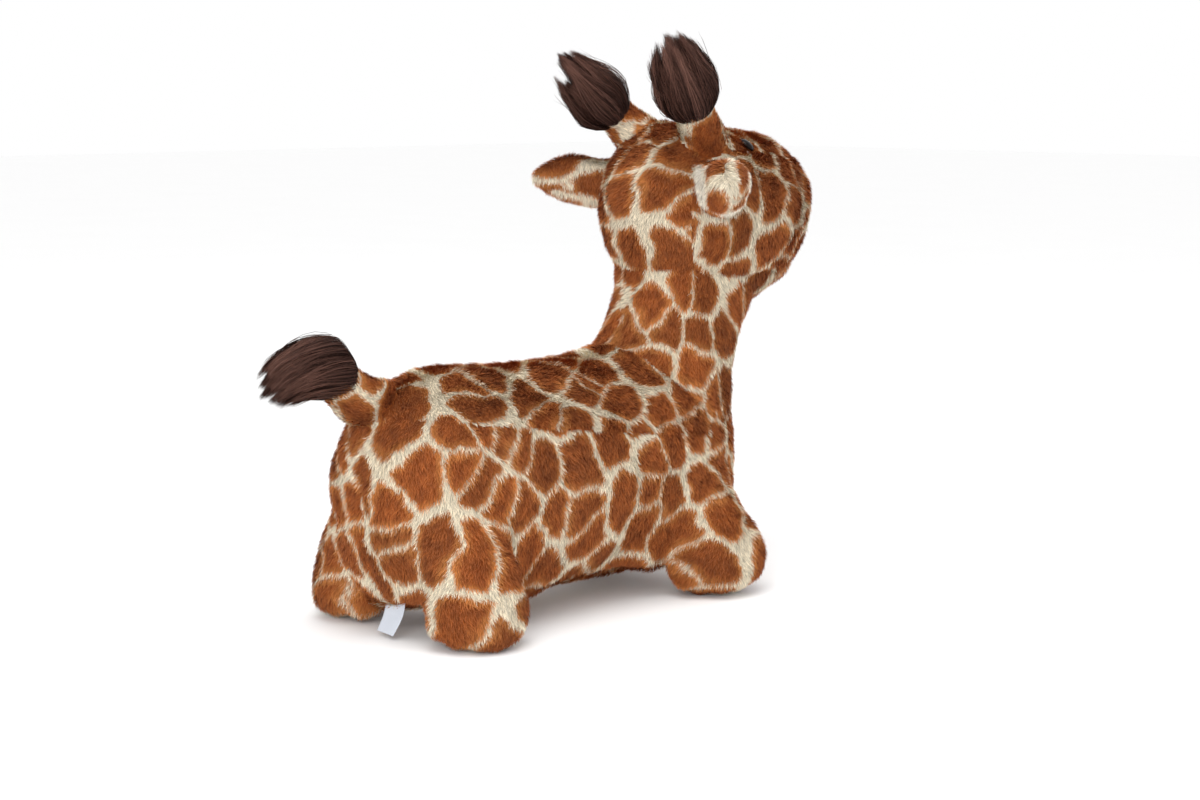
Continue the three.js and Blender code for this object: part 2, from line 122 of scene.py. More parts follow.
class Paint:
    """A material: fixed values on its shader, and nodes that feed what varies."""

    def __init__(self, name, **fixed):
        self.material = bpy.data.materials.new(name)
        self.material.use_nodes = True
        self.tree = self.material.node_tree
        self.shader = self.tree.nodes["Principled BSDF"]
        for socket, value in fixed.items():
            self.shader.inputs[socket.replace("_", " ")].default_value = value

    def node(self, kind, settings, sockets, output=0):
        made = self.tree.nodes.new("ShaderNode" + kind)
        for name, value in settings.items():
            setattr(made, name, value)
        for name, value in sockets.items():
            if isinstance(value, Field):
                self.tree.links.new(value.socket, made.inputs[name])
            else:
                made.inputs[name].default_value = value
        return Field(self, made.outputs[output])

    def reading(self, name, output="Fac"):
        return self.node("Attribute", {"attribute_name": name}, {}, output)

    def place(self):
        return self.node("TexCoord", {}, {}, "Object")

    def rising(self, field, low, high):
        """From 0 to 1 as the field goes from low to high, with soft ends."""
        return self.node(
            "MapRange", {"interpolation_type": "SMOOTHSTEP"},
            {"Value": field, "From Min": low, "From Max": high})

    def blend(self, share, first, second):
        # A Mix node's inputs 0, 6 and 7 are its share and its two colours.
        colours = [value if isinstance(value, Field) else (*value, 1) for value in (first, second)]
        return self.node("Mix", {"data_type": "RGBA"}, {0: share, 6: colours[0], 7: colours[1]}, 2)

    def scaled(self, vector, amount):
        return self.node("VectorMath", {"operation": "SCALE"}, {0: vector, "Scale": amount})

    def noise(self, vector, scale, detail=2.0, output="Fac"):
        return self.node("TexNoise", {}, {"Vector": vector, "Scale": scale, "Detail": detail}, output)

    def ribbing(self, direction, scale, distortion):
        bands = {"Vector": self.place(), "Scale": scale, "Distortion": distortion}
        return self.node("TexWave", {"bands_direction": direction}, bands)

    def feed(self, name, field):
        self.tree.links.new(field.socket, self.shader.inputs[name])

    def tone(self, dark, light, scale, detail=2.0):
        """Colours the material between two tones, by a noise that is given back."""
        cloud = self.noise(self.place(), scale, detail)
        self.feed("Base Color", self.blend(cloud, dark, light))
        return cloud

    def emboss(self, height, depth):
        bump = {"Height": height, "Distance": depth, "Strength": 1.0}
        self.feed("Normal", self.node("Bump", {}, bump))


# A pale studio floor under soft light: a wide panel overhead, one behind the giraffe to its
# right, and an even white surround.
floor_reach = 14
floor_pale = (0.965, 0.965, 0.965)
floor_bright = (0.985, 0.985, 0.985)
floor_mesh = bpy.data.meshes.new("studio_floor")
floor_corners = [(-1, -1), (1, -1), (1, 1), (-1, 1)]
floor_mesh.from_pydata(
    [(x * floor_reach, y * floor_reach, 0) for x, y in floor_corners], [], [(0, 1, 2, 3)])
floor_paint = Paint("studio_paper", Roughness=0.9)
floor_paint.tone(floor_pale, floor_bright, 3)
floor_mesh.materials.append(floor_paint.material)
floor = bpy.data.objects.new("studio_floor", floor_mesh)
bpy.context.scene.collection.objects.link(floor)


def soft_light(name, place, size, power):
    data = bpy.data.lights.new(name, "AREA")
    data.shape = "DISK"
    data.size = size
    data.energy = power
    light = bpy.data.objects.new(name, data)
    light.location = place
    aim = Vector((0, 0, cad_high.z / 2)) - Vector(place)
    light.rotation_euler = aim.to_track_quat("-Z", "Y").to_euler()
    bpy.context.scene.collection.objects.link(light)


soft_light("overhead_panel", (-0.6, -0.6, 2.4), size=1.8, power=27)
soft_light("rear_panel", (-2.3, -1.5, 1.2), size=1.6, power=28)
world = bpy.data.worlds.new("white_surround")
world.use_nodes = True
world.node_tree.nodes["Background"].inputs["Color"].default_value = (1, 1, 1, 1)
world.node_tree.nodes["Background"].inputs["Strength"].default_value = 1.0
bpy.context.scene.world = world
bpy.context.scene.view_settings.view_transform = "Standard"


# The cover is one skin of sewn plush over torso, neck, head, feet, ears, horns and tail stub.
# The frame's solids are melted into one closed skin, and the air inside pulls it taut over their
# creases. The shanks of the eyes pull it in, and the belly is open along the zip.
skin_pitch = 0.0035
body_inset = 0.0020
limb_inset = 0.0004
weld_distance = 1e-5
filler_share = 0.94
tiny = 1e-12
ease_share = 0.5
border_rounds = 6
limb_rounds = 4
body_rounds = 14
settle_rounds = 4
taut_share = 0.9
taut_rounds = 260
rounds_a_turn = 10
limb_tautness = 0.12
broad_swell = 0.0015
fine_swell = 0.0007
sole_thickness = 0.001
body_nodes = sorted(name for name in frame["nodes"] if name.startswith("cover_"))
limb_nodes = ["ear_left", "ear_right", "horn_left", "horn_right", "tail_stub"]
skin_nodes = body_nodes + limb_nodes


def node_points(name):
    mesh = frame["nodes"][name].data
    spots = np.empty(len(mesh.vertices) * 3)
    mesh.vertices.foreach_get("co", spots)
    return spots.reshape(-1, 3)


def middle_of(name):
    low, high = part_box(name)
    return np.array((low + high) / 2)


def unit(vectors):
    return vectors / np.maximum(np.linalg.norm(vectors, axis=-1, keepdims=True), tiny)


def swell(spots, lengths, seed):
    """A smooth wandering value from about -1 to 1, over waves of these lengths."""
    waves = np.random.default_rng(seed)
    total = np.zeros(len(spots))
    for length in lengths:
        direction = unit(waves.normal(size=3)) * 2 * math.pi / length
        total += np.sin(spots @ direction + waves.uniform(0, 2 * math.pi))
    return total / math.sqrt(len(lengths))


def filler(name):
    """A solid that fills a hollow node almost up to its outer face."""
    spots = node_points(name)
    middle = (spots.min(0) + spots.max(0)) / 2
    hull = bmesh.new()
    for spot in middle + (spots - middle) * filler_share:
        hull.verts.new(spot)
    bmesh.ops.remove_doubles(hull, verts=hull.verts, dist=weld_distance)
    bmesh.ops.convex_hull(hull, input=hull.verts)
    bmesh.ops.delete(hull, geom=[v for v in hull.verts if not v.link_faces], context="VERTS")
    mesh = bpy.data.meshes.new("filler")
    hull.to_mesh(mesh)
    hull.free()
    return mesh


def melted(nodes, fillers):
    """One closed skin round the outside of these nodes."""
    melt = bmesh.new()
    for name in nodes:
        melt.from_mesh(frame["nodes"][name].data)
    bmesh.ops.remove_doubles(melt, verts=melt.verts, dist=weld_distance)
    for mesh in fillers:
        melt.from_mesh(mesh)
    mesh = bpy.data.meshes.new("melt")
    melt.to_mesh(mesh)
    melt.free()
    whole = bpy.data.objects.new("melt", mesh)
    bpy.context.scene.collection.objects.link(whole)
    remesh = whole.modifiers.new("melt", "REMESH")
    remesh.mode = "VOXEL"
    remesh.voxel_size = skin_pitch
    depsgraph = bpy.context.evaluated_depsgraph_get()
    skin = bpy.data.meshes.new_from_object(whole.evaluated_get(depsgraph))
    bpy.data.objects.remove(whole)
    return skin


def nearest_node(spots, names):
    """For each spot, the number of the node in names that lies nearest."""
    corners, triangles, owners = [], [], []
    for number, name in enumerate(names):
        mesh = frame["nodes"][name].data
        triangles += [tuple(len(corners) + i for i in p.vertices) for p in mesh.polygons]
        corners += [v.co for v in mesh.vertices]
        owners += [number] * len(mesh.polygons)
    tree = BVHTree.FromPolygons(corners, triangles)
    return np.array([owners[tree.find_nearest(spot)[2]] for spot in spots])


fillers = [filler("cover_torso"), filler("cover_neck")]
skin_mesh = melted(skin_nodes + ["bladder", "head_filling"], fillers)
points = np.empty(len(skin_mesh.vertices) * 3)
skin_mesh.vertices.foreach_get("co", points)
points = points.reshape(-1, 3)
pairs = np.empty(len(skin_mesh.edges) * 2, np.int32)
skin_mesh.edges.foreach_get("vertices", pairs)
pairs = pairs.reshape(-1, 2)
pair_ends = pairs.T.ravel()
pair_others = pairs[:, ::-1].T.ravel()
neighbours = np.bincount(pair_ends, minlength=len(points))[:, None]
faces = np.array([tuple(p.vertices) for p in skin_mesh.polygons if len(p.vertices) == 4])
labels = nearest_node(points, skin_nodes)


def round_about(values):
    """For each point of the skin, the mean of its neighbours' values."""
    sums = [np.bincount(pair_ends, column[pair_others], len(values)) for column in values.T]
    return np.stack(sums, 1) / neighbours


def eased(values, share, rounds):
    for _ in range(rounds):
        values = values + share * (round_about(values) - values)
    return values


def outward_at(spots):
    """The skin's outward direction at each of its points."""
    corners = spots[faces]
    across = np.cross(corners[:, 2] - corners[:, 0], corners[:, 3] - corners[:, 1])
    sums = [np.bincount(faces.ravel(), np.repeat(column, 4), len(spots)) for column in across.T]
    return unit(np.stack(sums, 1))


def pulled_taut(spots, share, rounds):
    """The skin bridges its creases: a point moves out towards its neighbours, and never in."""
    for turn in range(rounds):
        if turn % rounds_a_turn == 0:
            outward = outward_at(spots)
        pull = ((round_about(spots) - spots) * outward).sum(1, keepdims=True)
        spots = spots + share * np.maximum(pull, 0) * outward
    return spots


def pushed(spots, centre, reach, move, hands=(1, -1)):
    """The skin moved at a centre, and less and less out to the reach, on one hand or on both."""
    for hand in hands:
        mirror = np.array([1, hand, 1])
        away = (spots - np.array(centre) * mirror) / np.array(reach)
        near = np.clip(1 - (away ** 2).sum(1, keepdims=True), 0, 1) ** 2
        share = 1 if centre[1] else 0.5
        spots = spots + share * near * np.array(move) * mirror
    return spots


on_body = eased((labels < len(body_nodes)).astype(float)[:, None], ease_share, border_rounds)
points = eased(points, ease_share, limb_rounds)
points = eased(points, ease_share * on_body, body_rounds)
points = pulled_taut(points, taut_share * (limb_tautness + (1 - limb_tautness) * on_body), taut_rounds)
points = eased(points, ease_share * on_body, settle_rounds)

# Where the air rounds the skin out further, or the stuffing sags. Each row has the centre of the
# change, its reach and its move, and says where that is. It holds for both sides alike.
for centre, reach, move in [
        ((-0.200, 0, 0.262), (0.12, 0.11, 0.07), (0, 0, 0.012)),  # rump's top
        ((-0.130, 0, 0.260), (0.11, 0.08, 0.06), (0, 0, 0.0015)),  # back
        ((0.198, 0.125, 0.045), (0.06, 0.06, 0.06), (0.006, 0.006, 0)),  # front feet's outer sides
        ((0.225, 0.100, 0.098), (0.05, 0.05, 0.05), (0.007, 0.006, 0)),  # chest above them
        ((0.278, 0, 0.325), (0.08, 0.10, 0.06), (0.026, 0, -0.004)),  # throat
        ((0.235, 0.050, 0.310), (0.06, 0.05, 0.05), (0.002, 0.002, 0)),  # its sides
        ((0.090, 0, 0.280), (0.08, 0.09, 0.07), (-0.018, 0, 0.008)),  # nape's foot
        ((0.075, 0.085, 0.038), (0.05, 0.05, 0.05), (0, 0.002, -0.028)),  # belly behind the front feet
        ((-0.132, 0.105, 0.040), (0.05, 0.05, 0.05), (0.004, 0.002, -0.028)),  # belly at the rear feet
        ((-0.090, 0.060, 0.038), (0.05, 0.055, 0.04), (0, 0, -0.013)),  # belly ahead of them
        ((-0.232, 0.040, 0.040), (0.05, 0.07, 0.05), (-0.002, 0, -0.014)),  # belly between them
        ((-0.245, 0.130, 0.060), (0.06, 0.06, 0.07), (0.0025, -0.002, 0)),  # their outer sides
        ((-0.262, 0, 0.292), (0.05, 0.05, 0.05), (0, 0, -0.018)),  # tail stub
        ((-0.288, 0, 0.245), (0.04, 0.05, 0.035), (-0.0015, 0, -0.002)),  # its lower side
        ((-0.264, 0.030, 0.215), (0.05, 0.06, 0.05), (-0.003, 0.002, 0)),  # rump below it
        ((-0.243, 0, 0.272), (0.035, 0.045, 0.035), (0, 0, -0.008)),  # dip in front of it
        ((0.185, 0.080, 0.475), (0.05, 0.05, 0.04), (0, 0, -0.006)),  # head between ears and horns
        ((0.160, 0.092, 0.482), (0.04, 0.04, 0.03), (0, 0, -0.009)),  # ears' roots
        ((0.120, 0.135, 0.455), (0.05, 0.05, 0.05), (-0.002, 0.002, 0.001)),  # ears' tips
        ((0.121, 0.087, 0.450), (0.044, 0.044, 0.05), (0.0066, 0.0066, 0)),  # their hind sides
        ((0.165, 0.045, 0.515), (0.05, 0.04, 0.05), (-0.009, 0.008, -0.003)),  # horns
        ((0.185, 0.040, 0.525), (0.03, 0.03, 0.03), (0.001, -0.001, 0.002)),  # their front sides
        ((0.155, 0.065, 0.500), (0.03, 0.03, 0.03), (-0.0015, 0.0015, 0)),  # their rear sides
        ((0.180, 0.020, 0.505), (0.035, 0.04, 0.03), (0, 0, 0.003)),  # between them
        ((0.265, 0, 0.518), (0.11, 0.10, 0.04), (0, 0, -0.007)),  # forehead
        ((0.380, 0, 0.380), (0.06, 0.10, 0.07), (-0.003, 0, 0.002)),  # muzzle
        ((0.345, 0.075, 0.380), (0.08, 0.08, 0.08), (-0.005, -0.004, 0))]:  # its sides
    points = pushed(points, centre, reach, move)

# The left rear foot's inner side sags lower than the right one's.
points = pushed(points, (-0.215, 0.050, 0.028), (0.05, 0.045, 0.04), (0, -0.012, -0.015), hands=(1,))

# The whole body is a little uneven, as stuffed cloth is.
swells = broad_swell * swell(points, [0.07, 0.05, 0.06], 11)
swells += fine_swell * swell(points, [0.026, 0.021], 12)
points += (swells[:, None] * on_body) * outward_at(points)
points -= (limb_inset + (body_inset - limb_inset) * on_body) * outward_at(points)

eye_dimple = 0.004
eye_tilt = (0.006, 0, 0.006)
eye_dimple_reach = 0.024
eye_facing = {}
for side in ("left", "right"):
    seat = middle_of(f"eye_washer_{side}")
    facing = unit(middle_of(f"eye_{side}") - seat + np.array(eye_tilt))
    eye_facing[side] = facing
    away = np.linalg.norm(points - middle_of(f"eye_{side}"), axis=1)
    near = np.clip(1 - (away / eye_dimple_reach) ** 2, 0, 1) ** 2
    points -= eye_dimple * near[:, None] * facing
points[:, 2] = np.maximum(points[:, 2], sole_thickness)


# The cloth is cut in panels from a printed roll. The seams lie along both flanks, round the
# belly, between neck and head and along each ear. Every panel's pile runs one way.
side_seam_height = 0.195
side_seam_fall = 0.14
side_seam_end = 0.155
belly_height = 0.040
back_radius = 0.115
neck_radius = 0.080
limb_radius = 0.026
ear_seam_drop = 0.010
spine_half = 0.02
neck_core = 0.004
flattest = 1e-6
panel_step = np.array([0.317, 0.211])
torso_middle = middle_of("cover_torso")
torso_low, torso_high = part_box("cover_torso")
torso_round = (torso_high.y - torso_low.y) / 2
torso_straight = (torso_high.x - torso_low.x) / 2 - torso_round
neck_middle = middle_of("cover_neck")
head_middle = middle_of("cover_head")
head_low, head_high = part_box("cover_head")
head_halves = np.array((head_high - head_low) / 2)
joints = {joint["name"]: joint for joint in frame["joints"]}


def hinge(name):
    return np.array(joints[name]["pos_m"])


def everywhere(spots):
    return np.ones(len(spots), bool)


def above_side_seam(spots):
    height = side_seam_height - side_seam_fall * spots[:, 0]
    return (spots[:, 2] > height) & (spots[:, 0] < side_seam_end)


def under_belly(spots):
    return spots[:, 2] < belly_height


def on_hand(hand):
    def covers(spots):
        return hand * spots[:, 1] >= 0
    return covers


def towards(*direction):
    def flow(spots):
        return np.tile(np.array(direction, float), (len(spots), 1))
    return flow


def off_the_spine(spots):
    """The back's pile parts along the spine, and falls to both sides and to the rear."""
    return np.stack([
        np.full(len(spots), -0.25),
        np.tanh(spots[:, 1] / spine_half),
        np.full(len(spots), -0.4)], 1)


def wrapped(origin, axis, front, radius):
    """Cloth wound round an axis: how far round from the front, and how far along."""
    axis, front = unit(np.array(axis, float)), np.array(front, float)
    front = unit(front - axis * (front @ axis))
    side = np.cross(axis, front)

    def place(spots):
        offset = spots - origin
        angle = np.arctan2(offset @ side, offset @ front)
        return np.stack([radius * angle, offset @ axis], 1)
    return place


def round_flank(spots):
    """Cloth that runs from the rump's middle along the flank to the chest's middle."""
    x = spots[:, 0] - torso_middle[0]
    along = np.clip(x, -torso_straight, torso_straight)
    angle = np.arctan2(np.abs(spots[:, 1]), along - x)
    return np.stack([along + torso_round * angle, spots[:, 2]], 1)


def round_neck(spots):
    """The flank's cloth where it goes up the neck."""
    x = spots[:, 0] - neck_middle[0]
    turn = np.arctan2(x, np.maximum(np.abs(spots[:, 1]), neck_core))
    start = neck_middle[0] - torso_middle[0] + torso_round * math.pi / 2
    return np.stack([start + neck_radius * turn, spots[:, 2]], 1)


class Panel:
    """One cut of cloth: the spots it covers, its place on the roll and the lie of its pile."""
    made = []

    def __init__(self, name, node, covers, place, flow, upright=30, density=1.0, length=1.0, cut=None):
        self.name = name
        self.node = node
        self.covers = covers
        self.place = place
        self.flow = flow
        self.upright = math.radians(upright)
        self.density = density
        self.length = length
        self.number = len(Panel.made)
        self.cut = self.number if cut is None else cut
        Panel.made.append(self)

    def on_roll(self, spots):
        return self.place(spots) + self.cut * panel_step


def smoothed_over(middle, along, across, up, halves):
    """Cloth smoothed flat over one side of a rounded form with little stretch."""
    def place(spots):
        shares = unit((spots - middle) @ np.array([along, across, up]).T / halves)
        lean = np.arccos(np.clip(np.abs(shares[:, 2:]), 0, 1))
        return shares[:, :2] / np.maximum(np.sin(lean), flattest) * lean * halves[:2]
    return place


def head_panel(name, axis, sign, upright=44):
    """The part of the head that faces one way."""
    order = [other for other in range(3) if other != axis] + [axis]

    def covers(spots):
        shares = (spots - head_middle) / head_halves
        return (np.abs(shares).argmax(1) == axis) & (shares[:, axis] * sign > 0)
    place = smoothed_over(head_middle, *np.eye(3)[order], head_halves[order])
    Panel(name, "cover_head", covers, place, towards(-0.45, 0, -1), upright)


back_cloth = wrapped(torso_middle, (1, 0, 0), (0, 0, 1), back_radius)
Panel("back", "cover_torso", above_side_seam, back_cloth, off_the_spine, upright=46)
Panel("belly", "cover_torso", under_belly, lambda spots: spots[:, :2], towards(-1, 0, 0), density=0.6)
side_cuts = {}
for side, hand in (("left", 1), ("right", -1)):
    flank = Panel(f"flank_{side}", "cover_torso", on_hand(hand), round_flank, towards(-0.2, 0, -1))
    side_cuts[side] = flank.cut
    Panel(f"neck_{side}", "cover_neck", on_hand(hand), round_neck, towards(-0.1, 0, -1), cut=flank.cut)
for end in ("rear", "front"):
    for side, cut in side_cuts.items():
        node = f"cover_leg_{end}_{side}"
        Panel(f"foot_{end}_{side}", node, everywhere, round_flank, towards(0, 0, -1), cut=cut)
head_panel("crown", 2, 1)
head_panel("chin", 2, -1)
head_panel("cheek_left", 1, 1)
head_panel("cheek_right", 1, -1)
head_panel("nape", 0, -1)
head_panel("muzzle", 0, 1)

limbs = {"tail_stub": ("tail", hinge("tail_bend"), unit(hinge("tail_tuft_swing") - hinge("tail_bend")))}
for side in ("left", "right"):
    root = hinge(f"ear_{side}_bend")
    tip = max(node_points(f"ear_{side}"), key=lambda spot: np.linalg.norm(spot - root))
    limbs[f"ear_{side}"] = (f"ear_{side}", root, unit(tip - root))
    root = hinge(f"horn_{side}_bend")
    limbs[f"horn_{side}"] = (f"horn_{side}", root, unit(middle_of(f"horn_tuft_{side}") - root))


def above_ear_seam(root):
    def covers(spots):
        return spots[:, 2] > root[2] - ear_seam_drop
    return covers


def over_ear(name, axis):
    """An ear's cloth, smoothed back over it from the tip."""
    across = unit(np.cross((0, 0, 1), axis))
    rows = np.array([across, np.cross(axis, across), axis])
    extents = (node_points(name) - middle_of(name)) @ rows.T
    return smoothed_over(middle_of(name), *rows, (extents.max(0) - extents.min(0)) / 2)


for name, (body, root, axis) in limbs.items():
    if name.startswith("ear"):
        leaf = over_ear(name, axis)
        brushed = towards(*axis[:2] * -0.2, -0.8)
        for part, covers in (("upper", above_ear_seam(root)), ("lower", everywhere)):
            Panel(f"{name}_{part}", name, covers, leaf, brushed, upright=32, density=1.3)
    else:
        around = wrapped(root, axis, (0, 0, 1), limb_radius)
        Panel(name, name, everywhere, around, towards(*axis), upright=30, length=0.8)


def panels_at(spots, spot_labels):
    """For each spot, the number of the panel that covers it."""
    found = np.full(len(spots), -1)
    for panel in Panel.made:
        own = (spot_labels == skin_nodes.index(panel.node)) & (found < 0)
        own[own] = panel.covers(spots[own])
        found[own] = panel.number
    return found


# Shallow folds fan out in the flanks above each foot.
fold_depth = 0.0022
fold_count = 7
fold_start = 0.055
fold_spread = 0.030
fold_height = 0.060
fold_wander = 2
flank_spots = round_flank(points)
torso = labels == skin_nodes.index("cover_torso")
for sole in soles.values():
    foot = round_flank(np.array([sole]))[0]
    same_side = np.sign(points[:, 1]) == np.sign(sole.y)
    rise, run = flank_spots[:, 1] - fold_height, flank_spots[:, 0] - foot[0]
    ring = np.exp(-((np.hypot(run, rise) - fold_start) / fold_spread) ** 2)
    fan = fold_count * np.arctan2(rise, run) + fold_wander * swell(points, [0.06], 9)
    fold = np.sin(fan) * ring * (rise > 0)
    points += fold_depth * (fold * same_side * torso)[:, None] * outward_at(points)

# Each seam draws the cloth in between two panels. Cuts that lie together on the roll, such as
# flank, neck and feet, are one piece of cloth with no seam.
seam_depth = 0.0016
seam_rounds = 3
cuts = np.array([panel.cut for panel in Panel.made])
spot_cuts = cuts[panels_at(points, labels)]
is_seam = np.zeros(len(points))
is_seam[pairs[spot_cuts[pairs[:, 0]] != spot_cuts[pairs[:, 1]]].ravel()] = 1
seam = eased(is_seam[:, None], ease_share, seam_rounds)
seam = np.clip(seam / seam.max(), 0, 1)

# Each ear is of bare cream pile from its root up to this share of its length, and the print comes
# in over the next part of it. The same share also paints the ears' cream lighter, most at the root,
# as painted light on the ears.
ear_cream = {"left": 0.14, "right": 0.45}
ear_cream_edge = 0.16
ear_cream_least = 0.15
bare_and_painted_light = np.zeros(len(points))
for side, reach in ear_cream.items():
    body, root, axis = limbs[f"ear_{side}"]
    own = labels == skin_nodes.index(f"ear_{side}")
    run = (points - root) @ axis
    level = run / run[own].max()
    bare_and_painted_light[own] = np.clip((reach - level[own]) / ear_cream_edge, ear_cream_least, 1)
bare_and_painted_light = eased(bare_and_painted_light[:, None], ease_share, border_rounds)
points -= seam_depth * seam * outward_at(points)
points[:, 2] = np.maximum(points[:, 2], sole_thickness)
normals = outward_at(points)
face_labels = labels[faces[:, 0]]
face_panels = panels_at(points[faces].mean(1), face_labels)


# The print on the roll: rounded rust-brown patches with an orange rim, parted by cream lines.
patch_pitch = 0.044
patch_height = 0.86
patch_unevenness = 0.9
broad_wander = 0.038
fine_wander = 0.012
line_half = 0.0013
line_softness = 0.0009
line_raggedness = 0.0030
line_on_ears = 0.012
corner_start = 0.47
corner_width = 0.42
rim_start = 0.0006
rim_end = 0.0085
mottle_low = 0.38
mottle_high = 0.66
mottle_share = 0.85
patch_darkest = 0.87
patch_difference = 0.28
cream = (0.88, 0.78, 0.60)
ear_cream_painted_light = (0.98, 0.92, 0.80)
rim_orange = (0.66, 0.240, 0.062)
rust = (0.42, 0.103, 0.019)
deep_rust = (0.25, 0.052, 0.008)


def printed(paint):
    """The print's colour, and where it is ink and not cream cloth, as round the ears' roots."""
    roll = paint.reading("roll", "Vector")
    offset = paint.node("VectorMath", {"operation": "MULTIPLY_ADD"}, {
        0: paint.noise(roll, 15, 1, "Color"), 1: (broad_wander, broad_wander, 0), 2: roll})
    offset = paint.node("VectorMath", {"operation": "MULTIPLY_ADD"}, {
        0: paint.noise(roll, 55, 1, "Color"), 1: (fine_wander, fine_wander, 0), 2: offset})
    squeeze = paint.node("VectorMath", {"operation": "MULTIPLY"}, {0: offset, 1: (1, patch_height, 0)})
    cells = {"Vector": squeeze, "Scale": 1 / patch_pitch, "Randomness": patch_unevenness}
    flat = {"voronoi_dimensions": "2D"}
    edge = paint.node("TexVoronoi", {**flat, "feature": "DISTANCE_TO_EDGE"}, cells)
    far = paint.node("TexVoronoi", {**flat, "feature": "F1"}, cells)
    tone = paint.node("TexVoronoi", {**flat, "feature": "F1"}, cells, "Color")
    corner = paint.node("Math", {"operation": "MAXIMUM"}, {0: far - corner_start, 1: 0.0})
    ragged = paint.noise(roll, 380, 2) - 0.5
    reach = (edge - corner * corner_width) * patch_pitch + ragged * line_raggedness
    reach = reach - paint.reading("bare_and_painted_light") * line_on_ears
    ink = paint.rising(reach, line_half - line_softness, line_half + line_softness)
    inner = paint.rising(reach, line_half + rim_start, line_half + rim_end)
    cloud = paint.rising(paint.noise(roll, 95, 5), mottle_low, mottle_high)
    patch = paint.blend(inner, rim_orange, rust)
    patch = paint.blend(inner * cloud * mottle_share, patch, deep_rust)
    shift = paint.node("SeparateColor", {}, {"Color": tone})
    patch = paint.scaled(patch, patch_darkest + shift * patch_difference)
    # Painted light: on the ears the cream is painted lighter, by the same share that keeps the print off them.
    cloth = paint.blend(paint.reading("bare_and_painted_light"), cream, ear_cream_painted_light)
    return paint.blend(ink, cloth, patch), ink


# The backing shows between the blades; its print is painted darker, as painted shade under the pile.
backing_painted_shade = 0.5
backing_paint = Paint("plush_backing", Roughness=0.95, Specular_IOR_Level=0.2)
colour, ink = printed(backing_paint)
backing_paint.feed("Base Color", backing_paint.scaled(colour, backing_painted_shade))
backing_paint.emboss(backing_paint.noise(backing_paint.place(), 1600, 1), 0.0004)


def mesh_from(name, spots, corners, counts):
    """A mesh from its points, its faces' corners in one row, and each face's corner count."""
    mesh = bpy.data.meshes.new(name)
    mesh.vertices.add(len(spots))
    mesh.vertices.foreach_set("co", np.asarray(spots, np.float32).ravel())
    mesh.loops.add(len(corners))
    mesh.loops.foreach_set("vertex_index", np.asarray(corners, np.int32))
    mesh.polygons.add(len(counts))
    mesh.polygons.foreach_set("loop_start", (np.cumsum(counts) - counts).astype(np.int32))
    mesh.polygons.foreach_set("use_smooth", np.ones(len(counts), bool))
    mesh.update(calc_edges=True)
    return mesh


def grid_corners(rows, columns, closed=False):
    """The corners of the four-sided faces between rows of points, one face after another."""
    corners = []
    for row in range(rows - 1):
        for column in range(columns if closed else columns - 1):
            low, after = row * columns, (column + 1) % columns
            corners += [low + column, low + after, low + columns + after, low + columns + column]
    return corners


def add_piece(name, mesh, paint):
    mesh.materials.append(paint.material)
    piece = bpy.data.objects.new(name, mesh)
    bpy.context.scene.collection.objects.link(piece)
    return piece


def write(mesh, name, kind, domain, values):
    attribute = mesh.attributes.new(name, kind, domain)
    key = "vector" if kind == "FLOAT_VECTOR" else "value"
    attribute.data.foreach_set(key, values.astype(np.float32).ravel())


bend_start, bend_end = 0.012, 0.040


def hang_on(piece, node):
    """Ties a piece of the cover to the main body, unless its node is an ear, a horn or the tail stub."""
    if node in limbs:
        body, root, axis = limbs[node]
        root + axis * bend_start
        root + axis * bend_end
        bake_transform(piece)
    else:
        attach(piece, "body")


zip_low = np.minimum(*[np.array(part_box(f"zip_half_{side}")[0]) for side in ("left", "right")])
zip_high = np.maximum(*[np.array(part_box(f"zip_half_{side}")[1]) for side in ("left", "right")])
opening_half = 0.0085
opening_inset = 0.002


def in_opening(spots):
    return (
        (np.abs(spots[:, 1]) < opening_half)
        & (spots[:, 0] > zip_low[0] + opening_inset)
        & (spots[:, 0] < zip_high[0] - opening_inset)
        & (spots[:, 2] < belly_height))


skin_faces = ~in_opening(points[faces].mean(1))


def skin_piece(name, nodes):
    own = np.isin(face_labels, [skin_nodes.index(node) for node in nodes]) & skin_faces
    used, corners = np.unique(faces[own], return_inverse=True)
    mesh = mesh_from(name, points[used], corners.ravel(), np.full(own.sum(), 4))
    spots, numbers = points[faces[own].ravel()], np.repeat(face_panels[own], 4)
    places = np.zeros((len(spots), 3))
    for panel in Panel.made:
        covered = numbers == panel.number
        places[covered, :2] = panel.on_roll(spots[covered])
    write(mesh, "roll", "FLOAT_VECTOR", "CORNER", places)
    write(mesh, "bare_and_painted_light", "FLOAT", "POINT", bare_and_painted_light[used])
    piece = add_piece(name, mesh, backing_paint)
    hang_on(piece, nodes[0])
    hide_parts(*nodes)


skin_piece("cover_skin", body_nodes)
for node in limb_nodes:
    skin_piece(f"{node}_skin", [node])


